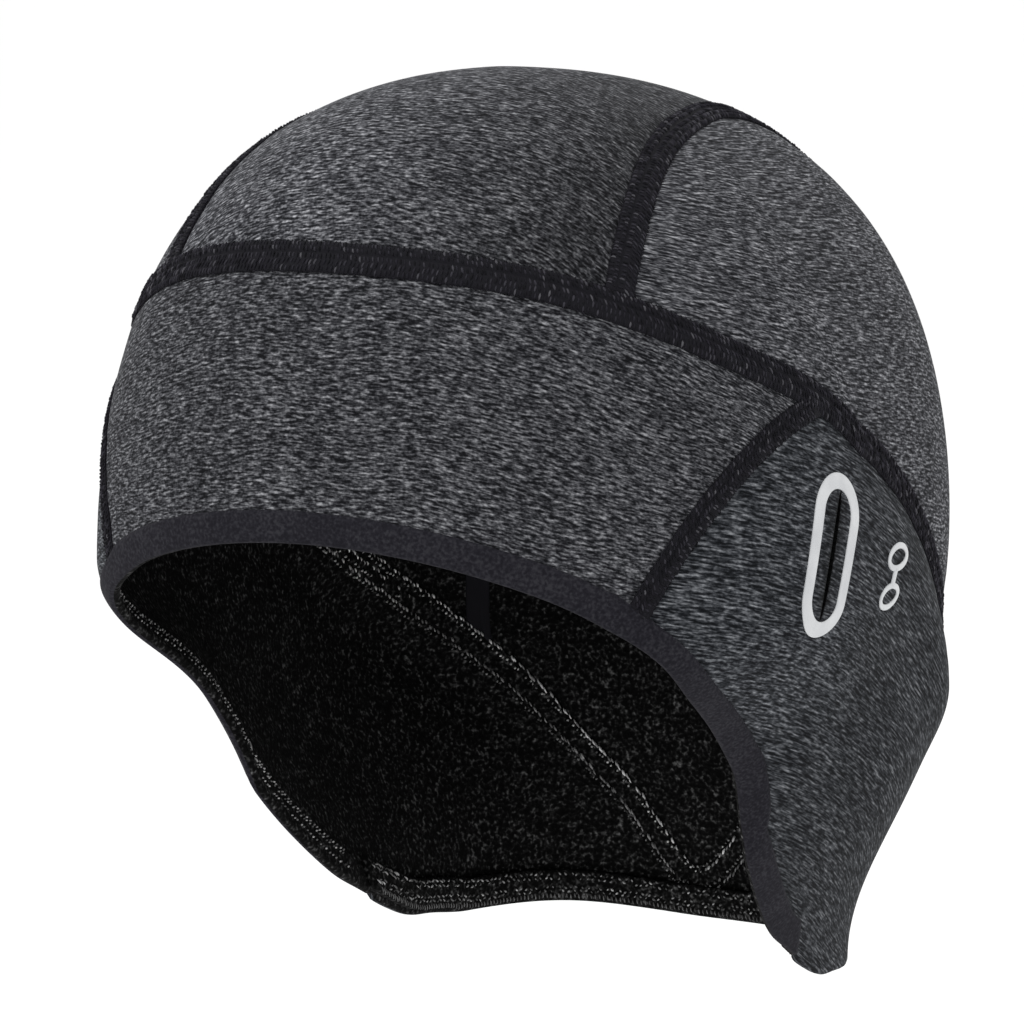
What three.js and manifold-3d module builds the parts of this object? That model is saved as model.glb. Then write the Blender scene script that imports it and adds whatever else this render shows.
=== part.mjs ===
// A close-fitting winter cap of brushed fleece cloth, worn alone or under a helmet, with panels over the
// ears. Millimetres, +Z up. The wearer faces -Y and the wearer's left is +X. The origin is where the top
// of the head touches the inside of the crown.
//
// The cloth is laid out on a flat chart: a place on the cap is given by its direction round from the front
// and by the length of cloth down from the top. Every seam is a line on that chart, each panel fills the
// space between four lines, and capPoint lifts the chart into its worn shape.
import * as THREE from 'three';
import { mergeVertices } from 'three/addons/utils/BufferGeometryUtils.js';
import Module from 'manifold-3d';

// Cloth and clearances
const CLOTH = 2.2;
const GAP = 0.3;

// The worn shape: half width, depth in front of and behind the top, and height of the dome
const HALF_WIDTH = 83;
const FRONT_DEPTH = 82;
const BACK_DEPTH = 112;
const DOME_HEIGHT = 102.5;
const DOME_REACH = 150; // cloth from the top down to the widest line
const FULLNESS = { side: 0.1, front: 0.35, back: 0.26 }; // how much fuller than an ellipse the dome is
const SQUARENESS = { front: 0.06, back: 0.26 }; // how square the cap is seen from above
// Below the widest line the cloth is drawn in towards the neck, and by the elastic beside the eyes
const NECK_TUCK = { sides: 24.5, back: -6, from: 34.5, run: 68 };
const CHEEK_TUCK = { depth: 56, degrees: 47, spread: 40, run: 54 };

// Degrees round from the front, and cloth down from the top
const BAND_SEAM = [
  { around: 0, down: 79.6 },
  { around: 30, down: 84 },
  { around: 60, down: 99 },
  { around: 90, down: 120.2 },
  { around: 120, down: 164.3 },
  { around: 150, down: 197.5 },
  { around: 165, down: 223.6 },
  { around: 180, down: 247 },
];
const CAP_EDGE = [
  { around: 0, down: 136.8 },
  { around: 30, down: 144.2 },
  { around: 55, down: 163.3 },
  { around: 80, down: 186.8 },
  { around: 105, down: 238.5 },
  { around: 130, down: 253.5 },
  { around: 155, down: 254.2 },
  { around: 180, down: 255.5 },
];
// The crown seams draw together over the top of the head and part again behind it: places on the worn cap,
// behind the top and out from the middle
const CROWN_SEAM = [
  { behind: -85, aside: 55 },
  { behind: -50, aside: 48.9 },
  { behind: -20, aside: 42.8 },
  { behind: 10, aside: 37.3 },
  { behind: 30, aside: 34.8 },
  { behind: 52, aside: 35.6 },
  { behind: 80, aside: 44.5 },
  { behind: 110, aside: 57 },
  { behind: 145, aside: 63 },
];
// The ear seams run straight over the flat cloth: how far behind the top, and how far out to the side
const EAR_SEAM = [
  { behind: -115, aside: 99.7 },
  { behind: -23, aside: 109.6 },
];

// Flat seams, sewn through butted cloth: how far each line of the section stands from the middle and from
// the face of the cloth, outside and inside. Two rows of thread make two ridges.
const BAND_SEAM_HALF = 3.2;
const CROWN_SEAM_HALF = 3;
const EAR_SEAM_HALF = 2.4;
const SEAM_SECTION = [
  { across: -1, outside: 0.1, inside: 0.1 },
  { across: -0.5, outside: 0.6, inside: 0.5 },
  { across: 0, outside: 0.3, inside: 0.3 },
  { across: 0.5, outside: 0.6, inside: 0.5 },
  { across: 1, outside: 0.1, inside: 0.1 },
];

// The elastic binding is folded over the edge round the face, from ear to ear. Its section: millimetres up
// from the edge, and lift from the outer face of the cloth.
const BINDING_END = 105;
const BINDING_WIDTH = 6.6;
const BINDING_THICK = 1;
const BINDING_FOLD = 1.2;
const BINDING_EASE = 0.55; // room between the binding and the cloth that it holds

// The neck hem is the cloth itself turned in below the ears and round the nape
const HEM_START = 107;
const HEM_WIDTH = 7;
const HEM_THICK = 1.2;
const HEM_LIFT = 0.9;

// The slit for the arm of a pair of glasses, in a silver ring, and the glasses sign behind it
const SLIT = { around: 78.6, down: 140.6, lean: 20, length: 26.4, width: 1.4 };
const RING = { length: 34, width: 17, band: 3.4, lift: 0.35, thick: 0.4 };
const SIGN = { around: 95.6, down: 149.1, lean: 25, spacing: 8.8, line: 1.35, bridge: 1.9 };
const LENS = { across: 11.2, up: 6 };

// How finely the shapes are cut into flat faces
const CHART_STEP = 0.5;
const TIP = 1.6;
const SEAM_FACE = 9;
const BINDING_FACE = 7.5;

const wasm = await Module();
wasm.setup();

const { clamp, degToRad, radToDeg, lerp } = THREE.MathUtils;

// A smooth curve through a table, level at both ends.
function smoothTable(rows, key, value, at) {
  const last = rows.length - 1;
  const slope = (i) => {
    if (i === 0 || i === last) return 0;
    return (rows[i + 1][value] - rows[i - 1][value]) / (rows[i + 1][key] - rows[i - 1][key]);
  };
  let i = 0;
  while (i < last - 1 && at > rows[i + 1][key]) i += 1;
  const run = rows[i + 1][key] - rows[i][key];
  const t = (at - rows[i][key]) / run;
  const bend = t * (1 - t) * run * ((1 - t) * slope(i) - t * slope(i + 1));
  return lerp(rows[i][value], rows[i + 1][value], t * t * (3 - 2 * t)) + bend;
}

function easeIn(value) {
  return THREE.MathUtils.smoothstep(value, 0, 1);
}

// The outer face of the worn cap above a place on the chart. Down to the widest line the cloth follows a
// dome. Below it, it hangs straight, drawn in at the cheeks and at the neck.
function capPoint(place) {
  const around = Math.atan2(place.x, -place.y);
  const down = place.length();
  const front = Math.cos(around) > 0;
  const sideways = Math.sin(around) ** 2;
  const lengthways = Math.cos(around) ** 2;
  const slope = (clamp(down / DOME_REACH, 0, 1) * Math.PI) / 2;
  const fullness = FULLNESS.side * sideways + (front ? FULLNESS.front : FULLNESS.back) * lengthways;
  const spread = Math.sin(slope) * (1 + fullness * Math.cos(slope) ** 2);
  const below = Math.max(down - DOME_REACH, 0);
  const offCheek = (Math.abs(radToDeg(around)) - CHEEK_TUCK.degrees) / CHEEK_TUCK.spread;
  const cheek = CHEEK_TUCK.depth * Math.exp(-(offCheek ** 2)) * easeIn(below / CHEEK_TUCK.run);
  const neck = easeIn((below - NECK_TUCK.from) / NECK_TUCK.run);
  const width = HALF_WIDTH - cheek - NECK_TUCK.sides * neck;
  const depth = front ? FRONT_DEPTH : BACK_DEPTH - NECK_TUCK.back * neck;
  const square = front ? SQUARENESS.front : SQUARENESS.back;
  return new THREE.Vector3(
    width * spread * Math.sin(around) * (1 + square * lengthways),
    -depth * spread * Math.cos(around) * (1 + square * sideways),
    DOME_HEIGHT * (Math.cos(slope) - 1) - below + CLOTH,
  );
}

// The way the worn cloth runs for each millimetre moved on the chart.
function runOf(place, direction) {
  const ahead = capPoint(place.clone().addScaledVector(direction, CHART_STEP));
  const behind = capPoint(place.clone().addScaledVector(direction, -CHART_STEP));
  return ahead.sub(behind).divideScalar(2 * CHART_STEP);
}

const ACROSS = new THREE.Vector2(1, 0);
const BACK = new THREE.Vector2(0, 1);

// A point lifted off the outer face of the cloth, or sunk into it.
function lifted(place, lift) {
  const normal = runOf(place, ACROSS).cross(runOf(place, BACK)).normalize();
  return capPoint(place).addScaledVector(normal, lift);
}

// One station of a wall: a row of places lifted to its outer face and to its inner face.
function station(places, outerLift, innerLift) {
  return {
    outer: places.map((place) => lifted(place, outerLift)),
    inner: places.map((place) => lifted(place, innerLift)),
  };
}

function radial(degrees, down) {
  const angle = degToRad(degrees);
  return new THREE.Vector2(down * Math.sin(angle), -down * Math.cos(angle));
}

// A line that runs round the cap, given by degrees, and one that runs from front to back.
function roundLine(rows) {
  return {
    point: (degrees) => {
      const turn = Math.abs(((degrees + 540) % 360) - 180);
      return radial(degrees, smoothTable(rows, 'around', 'down', turn));
    },
    aside: (degrees) => radial(degrees, 1),
  };
}

function lengthLine(asideAt) {
  return {
    point: (behind) => new THREE.Vector2(asideAt(behind), behind),
    aside: () => ACROSS,
  };
}

// How far out on the chart a crown seam lies, by halving: where the worn cloth is as far from the middle of
// the head as the seam's table says. Below the widest line the seam hangs straight down.
function crownSeamAside(behind) {
  let near = 0;
  let far = 2 * DOME_REACH;
  for (let turn = 0; turn < 40; turn += 1) {
    const middle = (near + far) / 2;
    const worn = capPoint(new THREE.Vector2(middle, behind).clampLength(0, DOME_REACH));
    const seam = smoothTable(CROWN_SEAM, 'behind', 'aside', worn.y);
    if (worn.x < seam) near = middle;
    else far = middle;
  }
  return near;
}

function earSeamAside(behind) {
  const [fore, rear] = EAR_SEAM;
  return THREE.MathUtils.mapLinear(behind, fore.behind, rear.behind, fore.aside, rear.aside);
}

// The place beside a line at a distance measured square to it over the worn cloth: towards the edge of the
// cap for a round line, and towards the ear for one that runs from front to back.
function beside(line, at, distance) {
  const place = line.point(at);
  const along = runOf(place, line.point(at + CHART_STEP).sub(line.point(at - CHART_STEP)).normalize());
  const out = runOf(place, line.aside(at));
  const perMillimetre = along.length() / out.clone().cross(along).length();
  return place.addScaledVector(line.aside(at), distance * perMillimetre);
}

// Where a line from front to back, moved aside, meets a round line, moved aside: halving the stretch between
// a place inside the round line and one outside it.
function crossing(lengthways, asideOne, round, asideTwo, inside, outside) {
  let near = inside;
  let far = outside;
  for (let turn = 0; turn < 40; turn += 1) {
    const middle = (near + far) / 2;
    const place = beside(lengthways, middle, asideOne);
    const degrees = radToDeg(Math.atan2(place.x, -place.y));
    if (place.length() < beside(round, degrees, asideTwo).length()) near = middle;
    else far = middle;
  }
  const place = beside(lengthways, near, asideOne);
  return { behind: near, around: radToDeg(Math.atan2(place.x, -place.y)) };
}

// Turns a closed shell so that its faces point out.
function facingOut(geometry) {
  const points = geometry.getAttribute('position');
  const faces = geometry.getIndex().array;
  const [a, b, c] = [new THREE.Vector3(), new THREE.Vector3(), new THREE.Vector3()];
  let volume = 0;
  for (let i = 0; i < faces.length; i += 3) {
    a.fromBufferAttribute(points, faces[i]);
    b.fromBufferAttribute(points, faces[i + 1]);
    c.fromBufferAttribute(points, faces[i + 2]);
    volume += a.dot(b.cross(c));
  }
  if (volume < 0) {
    for (let i = 0; i < faces.length; i += 3) {
      [faces[i], faces[i + 1]] = [faces[i + 1], faces[i]];
    }
  }
  geometry.computeVertexNormals();
  return geometry;
}

// A closed solid from stations, each an outer and an inner row of points with the same count.
function wall(stations, ring = false) {
  const rows = stations[0].outer.length;
  const loop = 2 * rows;
  const positions = stations.flatMap(({ outer, inner }) => [...outer, ...[...inner].reverse()]);
  const faces = [];
  const quad = (a, b, c, d) => faces.push(a, b, c, a, c, d);
  const spans = ring ? stations.length : stations.length - 1;
  for (let i = 0; i < spans; i += 1) {
    const here = i * loop;
    const next = ((i + 1) % stations.length) * loop;
    for (let j = 0; j < loop; j += 1) {
      const k = (j + 1) % loop;
      quad(here + j, here + k, next + k, next + j);
    }
  }
  if (!ring) {
    const end = (stations.length - 1) * loop;
    for (let j = 0; j < rows - 1; j += 1) {
      const back = loop - 1 - j;
      quad(j + 1, j, back, back - 1);
      quad(end + j, end + j + 1, end + back - 1, end + back);
    }
  }
  const geometry = new THREE.BufferGeometry().setFromPoints(positions);
  geometry.setIndex(faces);
  return facingOut(geometry);
}

function evenly(count, from, to) {
  return Array.from({ length: count + 1 }, (_, i) => lerp(from, to, i / count));
}

// A cloth panel that fills the space between four border lines on the chart, each a function from 0 to 1:
// the sum of the two straight blends between opposite borders, less the blend of the four corners.
function panel({ first, last, top, bottom }, long, wide) {
  const corner = (a, b) => (a === 0 ? first(b) : last(b));
  const inside = (u, v) => {
    const place = new THREE.Vector2();
    place.addScaledVector(first(v), 1 - u).addScaledVector(last(v), u);
    place.addScaledVector(top(u), 1 - v).addScaledVector(bottom(u), v);
    place.addScaledVector(corner(0, 0), -(1 - u) * (1 - v)).addScaledVector(corner(0, 1), -(1 - u) * v);
    return place.addScaledVector(corner(1, 0), -u * (1 - v)).addScaledVector(corner(1, 1), -u * v);
  };
  const across = (u) => evenly(wide, 0, 1).map((v) => inside(u, v));
  return wall(evenly(long, 0, 1).map((u) => station(across(u), 0, -CLOTH)));
}

// A border that follows a line, moved aside, between two of its places.
function border(line, from, to, distance) {
  return (t) => {
    const at = lerp(from, to, t);
    return beside(line, at, typeof distance === 'function' ? distance(at) : distance);
  };
}

// A straight border between two places on the chart.
function straight(from, to) {
  return (t) => from.clone().lerp(to, t);
}

// A seam: its section carried along the middle line. Each place is a function that says how far along the
// line every part of the section has come, so that an end can be cut aslant.
function seam(line, half, places, ring = false) {
  return wall(places.map((alongAt) => {
    const row = (side) => SEAM_SECTION.map((step) => {
      const place = beside(line, alongAt(step.across), step.across * half);
      return side > 0 ? lifted(place, step.outside) : lifted(place, -CLOTH - step.inside);
    });
    return { outer: row(1), inner: row(-1) };
  }), ring);
}

// A seam from front to back whose ends are cut along the round lines that it runs up to.
function seamBetween(line, half, startAt, endAt) {
  const endsOf = (across) => [startAt(across * half), endAt(across * half)];
  const ends = new Map(SEAM_SECTION.map(({ across }) => [across, endsOf(across)]));
  const count = facesAlong(line, ...ends.get(0), SEAM_FACE);
  const places = evenly(count, 0, 1).map((t) => (across) => lerp(...ends.get(across), t));
  return seam(line, half, places);
}

// How many faces a stretch of a line needs.
function facesAlong(line, from, to, face) {
  const points = evenly(60, from, to).map((at) => capPoint(line.point(at)));
  const length = points.slice(1).reduce((sum, point, i) => sum + point.distanceTo(points[i]), 0);
  return Math.ceil(length / face);
}

const bandSeam = roundLine(BAND_SEAM);
const capEdge = roundLine(CAP_EDGE);
const crownSeam = lengthLine(crownSeamAside);
const earSeam = lengthLine(earSeamAside);

const bandSide = BAND_SEAM_HALF + GAP;
const crownSide = CROWN_SEAM_HALF + GAP;
const earSide = EAR_SEAM_HALF + GAP;

// The cloth stops inside the fold of the binding, and runs to the edge beyond the binding's end.
function edgeInset(degrees) {
  const turn = Math.abs(((degrees + 540) % 360) - 180);
  return -(BINDING_FOLD + BINDING_EASE) * (1 - easeIn((turn - BINDING_END - 0.6) / 1.2));
}

// The middle crown panel runs from the forehead over the top to the nape.
function crownCenter() {
  const front = crossing(crownSeam, -crownSide, bandSeam, -bandSide, 0, -90);
  const back = crossing(crownSeam, -crownSide, bandSeam, -bandSide, 0, 200);
  const mirrored = (border) => (t) => border(t).multiply(new THREE.Vector2(-1, 1));
  const left = border(crownSeam, front.behind, back.behind, -crownSide);
  return panel({
    first: border(bandSeam, -front.around, front.around, -bandSide),
    last: border(bandSeam, 360 - back.around, back.around, -bandSide),
    top: mirrored(left),
    bottom: left,
  }, 28, 12);
}

// A side crown panel lies over the temple and ear, between a crown seam and the band seam.
function crownSidePanel() {
  const front = crossing(crownSeam, crownSide, bandSeam, -bandSide, 0, -90);
  const back = crossing(crownSeam, crownSide, bandSeam, -bandSide, 0, 200);
  const top = border(crownSeam, front.behind + TIP, back.behind - TIP, crownSide);
  const bottom = border(bandSeam, front.around + TIP, back.around - TIP, -bandSide);
  const first = straight(top(0), bottom(0));
  const last = straight(top(1), bottom(1));
  return panel({ first, last, top, bottom }, 18, 6);
}

// The forehead band lies between the band seam and the binding, and ends at the two ear seams.
function foreheadBand() {
  const upper = crossing(earSeam, -earSide, bandSeam, bandSide, 0, -60);
  const lower = crossing(earSeam, -earSide, capEdge, edgeInset(0), 0, -125);
  const left = border(earSeam, upper.behind, lower.behind, -earSide);
  return panel({
    first: (t) => left(t).multiply(new THREE.Vector2(-1, 1)),
    last: left,
    top: border(bandSeam, -upper.around, upper.around, bandSide),
    bottom: border(capEdge, -lower.around, lower.around, edgeInset),
  }, 28, 6);
}

// A slit or mark is drawn on the cloth about a middle place, with its long way leaning back from upright.
function markFrame({ around, down, lean }) {
  const middle = radial(around, down);
  const round = runOf(middle, radial(around + 90, 1));
  const along = runOf(middle, radial(around, 1));
  return (across, up) => {
    const angle = degToRad(lean);
    const level = across * Math.cos(angle) + up * Math.sin(angle);
    const rise = up * Math.cos(angle) - across * Math.sin(angle);
    const place = middle.clone().addScaledVector(radial(around + 90, 1), level / round.length());
    return place.addScaledVector(radial(around, 1), -rise / along.length());
  };
}

// An ear panel lies behind the ear seam and runs back to the middle of the nape, with the slit cut through.
function earPanel() {
  const upper = crossing(earSeam, earSide, bandSeam, bandSide, 0, -60);
  const lower = crossing(earSeam, earSide, capEdge, edgeInset(0), 0, -125);
  const top = border(bandSeam, upper.around, 179.8, bandSide);
  const bottom = border(capEdge, lower.around, 179.8, edgeInset);
  const first = border(earSeam, upper.behind, lower.behind, earSide);
  const cloth = panel({ first, last: straight(top(1), bottom(1)), top, bottom }, 36, 7);
  const draw = markFrame(SLIT);
  const knife = wall(evenly(6, -SLIT.length / 2, SLIT.length / 2).map((up) => {
    const places = [-SLIT.width / 2, SLIT.width / 2].map((across) => draw(across, up));
    return station(places, CLOTH, -2 * CLOTH);
  }));
  return fromSolid(toSolid(cloth).subtract(toSolid(knife)));
}

function toSolid(geometry) {
  const bare = geometry.clone();
  bare.deleteAttribute('normal');
  bare.deleteAttribute('uv');
  const merged = mergeVertices(bare);
  return new wasm.Manifold(new wasm.Mesh({
    numProp: 3,
    vertProperties: merged.getAttribute('position').array,
    triVerts: new Uint32Array(merged.getIndex().array),
  }));
}

function fromSolid(solid) {
  const mesh = solid.getMesh();
  const geometry = new THREE.BufferGeometry();
  geometry.setAttribute('position', new THREE.BufferAttribute(mesh.vertProperties, 3));
  geometry.setIndex(new THREE.BufferAttribute(mesh.triVerts, 1));
  geometry.computeVertexNormals();
  return geometry;
}

// The binding: a strip folded round the edge, seen in section as two matching rows, outer and inner.
function faceBinding() {
  const near = BINDING_EASE;
  const far = BINDING_EASE + BINDING_THICK;
  const skin = [
    { up: BINDING_WIDTH, lift: far },
    { up: 0.7, lift: far },
    { up: 0, lift: 0.3 },
    { up: 0, lift: -CLOTH - 0.3 },
    { up: 0.7, lift: -CLOTH - far },
    { up: BINDING_WIDTH, lift: -CLOTH - far },
  ];
  const lining = [
    { up: BINDING_WIDTH, lift: near },
    { up: BINDING_FOLD, lift: near },
    { up: BINDING_FOLD, lift: -0.2 },
    { up: BINDING_FOLD, lift: -CLOTH + 0.2 },
    { up: BINDING_FOLD, lift: -CLOTH - near },
    { up: BINDING_WIDTH, lift: -CLOTH - near },
  ];
  const row = (section, at) => section.map((step) => lifted(beside(capEdge, at, -step.up), step.lift));
  const count = facesAlong(capEdge, -BINDING_END, BINDING_END, BINDING_FACE);
  const places = evenly(count, -BINDING_END, BINDING_END);
  return wall(places.map((at) => ({ outer: row(skin, at), inner: row(lining, at) })));
}

// The turned-in hem lies against the inside of the cloth along the neck edge.
function neckHem() {
  const rows = [0.2, HEM_WIDTH / 2, HEM_WIDTH];
  const end = 360 - HEM_START;
  const count = facesAlong(capEdge, HEM_START, end, SEAM_FACE);
  return wall(evenly(count, HEM_START, end).map((at) => {
    const places = rows.map((up) => beside(capEdge, at, -up));
    return station(places, -CLOTH - HEM_LIFT, -CLOTH - HEM_LIFT - HEM_THICK);
  }));
}

// A printed line, lifted just off the cloth, that follows a closed outline at a steady width.
function printedLoop(draw, outline, line) {
  return wall(outline.map(({ x, y, nx, ny }) => {
    const places = [0, -line].map((step) => draw(x + nx * step, y + ny * step));
    return station(places, RING.lift + RING.thick, RING.lift);
  }), true);
}

// An outline with round ends and straight sides.
function roundEnded(length, width, arcFaces, sideFaces) {
  const radius = width / 2;
  const straightHalf = (length - width) / 2;
  const outline = [];
  [1, -1].forEach((end) => {
    evenly(arcFaces, 0, Math.PI).forEach((turn) => {
      const nx = end * Math.cos(turn);
      const ny = end * Math.sin(turn);
      outline.push({ x: nx * radius, y: end * straightHalf + ny * radius, nx, ny });
    });
    evenly(sideFaces, straightHalf, -straightHalf).slice(1, -1).forEach((y) => {
      outline.push({ x: -end * radius, y: end * y, nx: -end, ny: 0 });
    });
  });
  return outline;
}

// An oval outline that lies level although its sign leans, with the direction square to it at each place.
function levelOval({ across, up }, middle, faces) {
  const lean = degToRad(SIGN.lean);
  return evenly(faces, 0, 2 * Math.PI).slice(1).map((turn) => {
    const place = new THREE.Vector2((Math.cos(turn) * across) / 2, (Math.sin(turn) * up) / 2);
    const square = new THREE.Vector2(place.x / across ** 2, place.y / up ** 2).normalize();
    const origin = new THREE.Vector2();
    place.rotateAround(origin, lean);
    square.rotateAround(origin, lean);
    return { x: place.x, y: place.y + middle, nx: square.x, ny: square.y };
  });
}

function slotRing() {
  const draw = markFrame(SLIT);
  return printedLoop(draw, roundEnded(RING.length, RING.width, 6, 4), RING.band);
}

// The glasses sign: two lenses joined by a short bar.
function glassesSign() {
  const draw = markFrame(SIGN);
  const lens = (end) => toSolid(printedLoop(draw, levelOval(LENS, (end * SIGN.spacing) / 2, 16), SIGN.line));
  const reach = (SIGN.spacing - LENS.up) / 2 + SIGN.line / 3;
  const bridge = wall([-reach, 0, reach].map((up) => {
    const places = [-SIGN.bridge / 2, SIGN.bridge / 2].map((across) => draw(across, up));
    return station(places, RING.lift + RING.thick, RING.lift);
  }));
  return fromSolid(lens(1).add(lens(-1)).add(toSolid(bridge)));
}

// The same piece for the other side of the head.
function mirrored(geometry) {
  const other = geometry.clone();
  other.scale(-1, 1, 1);
  return facingOut(other);
}

const heather = { color: 0x4b4d52, roughness: 0.95, metalness: 0 };
const seamThread = { color: 0x1d1d20, roughness: 0.9, metalness: 0 };
const elastic = { color: 0x36363a, roughness: 0.7, metalness: 0 };
const fleece = { color: 0x121213, roughness: 1, metalness: 0 };
const silver = { color: 0xd9dbdd, roughness: 0.35, metalness: 0.2 };

const cap = new THREE.Group();

function add(name, geometry, look) {
  const mesh = new THREE.Mesh(geometry, new THREE.MeshStandardMaterial(look));
  mesh.name = name;
  cap.add(mesh);
}

function addPair(name, geometry, look) {
  add(`${name}_left`, geometry, look);
  add(`${name}_right`, mirrored(geometry), look);
}

add('crown_center', crownCenter(), heather);
addPair('crown_side', crownSidePanel(), heather);
add('forehead_band', foreheadBand(), heather);
addPair('ear_panel', earPanel(), heather);

const bandHalf = facesAlong(bandSeam, 0, 180, SEAM_FACE);
const bandPlaces = evenly(2 * bandHalf, 0, 360).slice(0, -1).map((degrees) => () => degrees);
add('band_seam', seam(bandSeam, BAND_SEAM_HALF, bandPlaces, true), seamThread);

const crownFront = (aside) => crossing(crownSeam, aside, bandSeam, -bandSide, 0, -90).behind;
const crownBack = (aside) => crossing(crownSeam, aside, bandSeam, -bandSide, 0, 200).behind;
addPair('crown_seam', seamBetween(crownSeam, CROWN_SEAM_HALF, crownFront, crownBack), seamThread);

const earTop = (aside) => crossing(earSeam, aside, bandSeam, bandSide, 0, -60).behind;
const earFoot = (aside) => crossing(earSeam, aside, capEdge, -BINDING_WIDTH - GAP, 0, -125).behind;
addPair('ear_seam', seamBetween(earSeam, EAR_SEAM_HALF, earTop, earFoot), seamThread);

add('face_binding', faceBinding(), elastic);
add('neck_hem', neckHem(), fleece);
addPair('slot_ring', slotRing(), silver);
addPair('glasses_sign', glassesSign(), silver);

export default cap;
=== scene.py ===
import bpy
import numpy as np
from mathutils import Matrix


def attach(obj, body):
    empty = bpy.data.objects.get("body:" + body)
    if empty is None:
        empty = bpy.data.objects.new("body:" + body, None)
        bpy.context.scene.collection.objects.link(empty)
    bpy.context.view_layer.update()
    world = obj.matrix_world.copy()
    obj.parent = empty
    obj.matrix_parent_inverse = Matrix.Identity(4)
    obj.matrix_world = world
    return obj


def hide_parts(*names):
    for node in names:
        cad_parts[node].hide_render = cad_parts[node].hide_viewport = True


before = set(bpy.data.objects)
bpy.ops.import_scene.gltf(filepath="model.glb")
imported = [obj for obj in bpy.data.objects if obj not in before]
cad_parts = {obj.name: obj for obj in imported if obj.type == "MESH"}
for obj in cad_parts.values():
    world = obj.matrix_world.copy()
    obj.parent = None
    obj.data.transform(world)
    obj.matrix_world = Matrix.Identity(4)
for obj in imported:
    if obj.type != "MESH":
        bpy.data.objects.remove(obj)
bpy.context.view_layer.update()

# Camera, floor and light
# The camera stands in front of the cap, a little to the wearer's left and above, as in the photo.
# The floor is a wide pale sheet well below the cap, which is held up as a head holds it.
AZIMUTH, ELEVATION, ROLL = 25.079, 9.581, 1.108  # degrees
DISTANCE, ASIDE, UP = 0.86235, 0.002633, 0.008988  # metres, from the middle of the fitted cap
MIDDLE_HEIGHT = -0.1003
LENS = 143.43
turn, rise, roll = np.radians([AZIMUTH, ELEVATION, ROLL])
back = np.array([np.sin(turn) * np.cos(rise), -np.cos(turn) * np.cos(rise), np.sin(rise)])
level = np.array([np.cos(turn), np.sin(turn), 0.0])
over = np.cross(back, level)
right = level * np.cos(roll) + over * np.sin(roll)
up = over * np.cos(roll) - level * np.sin(roll)
stand = back * DISTANCE + right * ASIDE + up * UP + np.array([0.0, 0.0, MIDDLE_HEIGHT])


def stood(name, data, right, up, back, place):
    """A camera or lamp that stands at a place and looks away from back."""
    made = bpy.data.objects.new(name, data)
    bpy.context.collection.objects.link(made)
    matrix = np.eye(4)
    matrix[:3, 0], matrix[:3, 1], matrix[:3, 2], matrix[:3, 3] = right, up, back, place
    made.matrix_world = Matrix(matrix.tolist())
    return made


camera = stood("camera", bpy.data.cameras.new("camera"), right, up, back, stand)
camera.data.lens = LENS
camera.data.sensor_width = 36.0
camera.data.clip_start = 0.02
bpy.context.scene.camera = camera


def material(name, roughness, specular):
    """Returns a new material, its node tree and its shader."""
    made = bpy.data.materials.new(name)
    made.use_nodes = True
    shader = made.node_tree.nodes["Principled BSDF"]
    shader.inputs["Roughness"].default_value = roughness
    shader.inputs["Specular IOR Level"].default_value = specular
    return made, made.node_tree, shader


FLOOR_HEIGHT, FLOOR_REACH = -0.5, 40.0
sheet = bpy.data.meshes.new("floor")
corners = [(-1, -1), (1, -1), (1, 1), (-1, 1)]
sheet.from_pydata([(x * FLOOR_REACH, y * FLOOR_REACH, FLOOR_HEIGHT) for x, y in corners], [], [(0, 1, 2, 3)])
floor = bpy.data.objects.new("floor", sheet)
bpy.context.collection.objects.link(floor)
paper, _, paper_shader = material("pale_paper", 0.9, 0.1)
paper_shader.inputs["Base Color"].default_value = (0.93, 0.93, 0.93, 1)
sheet.materials.append(paper)

world = bpy.data.worlds.new("studio")
bpy.context.scene.world = world
world.use_nodes = True
studio = world.node_tree.nodes["Background"].inputs
studio["Color"].default_value = (1.0, 1.0, 1.0, 1)
studio["Strength"].default_value = 1.08
bpy.context.scene.view_settings.view_transform = "Standard"

KEY_PLACE, KEY_AIM = np.array([-0.9, -0.8, 1.8]), np.array([0.0, 0.0, -0.08])
lamp = bpy.data.lights.new("key", "AREA")
lamp.size, lamp.energy = 1.2, 16.0
away = (KEY_PLACE - KEY_AIM) / np.linalg.norm(KEY_PLACE - KEY_AIM)
aside = np.cross([0.0, 0.0, 1.0], away)
aside /= np.linalg.norm(aside)
stood("key", lamp, aside, np.cross(away, aside), away, KEY_PLACE)

# Crown centre: the middle panel, from the forehead over the top of the head to the nape
# Real piece: stretch jersey bonded to brushed fleece, cut lengthways, its heather streaks running across.
# The worn surface is given by a flat chart of the cloth, lifted by cap_point; all in millimetres.
CLOTH = 2.2
HALF_WIDTH, FRONT_DEPTH, BACK_DEPTH, DOME_HEIGHT, DOME_REACH = 83.0, 82.0, 112.0, 102.5, 150.0
FULLNESS = {"side": 0.1, "front": 0.35, "back": 0.26}
SQUARENESS = {"front": 0.06, "back": 0.26}
NECK_TUCK = {"sides": 24.5, "back": -6.0, "from": 34.5, "run": 68.0}
CHEEK_TUCK = {"depth": 56.0, "degrees": 47.0, "spread": 40.0, "run": 54.0}
SEAM_DRAW = {"depth": 1.3, "reach": 8.0, "swell": 2.0, "below": 16.0, "run": 11.0}
SEAM_DRAW_ROUND = (84, 114, 137, 162)  # the degrees where it starts, is full, fades and ends
BAND_SEAM = np.array([(0, 79.6), (30, 84), (60, 99), (90, 120.2), (120, 164.3), (150, 197.5), (165, 223.6),
                      (180, 247)])  # degrees round from the front, and down from the top
CAP_EDGE = np.array([(0, 136.8), (30, 144.2), (55, 163.3), (80, 186.8), (95, 220.9), (101, 232.8),
                     (106, 239.4), (111, 245.1), (116, 249.3), (121, 251.0), (130, 253.5), (155, 254.2),
                     (180, 255.5)])
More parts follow.
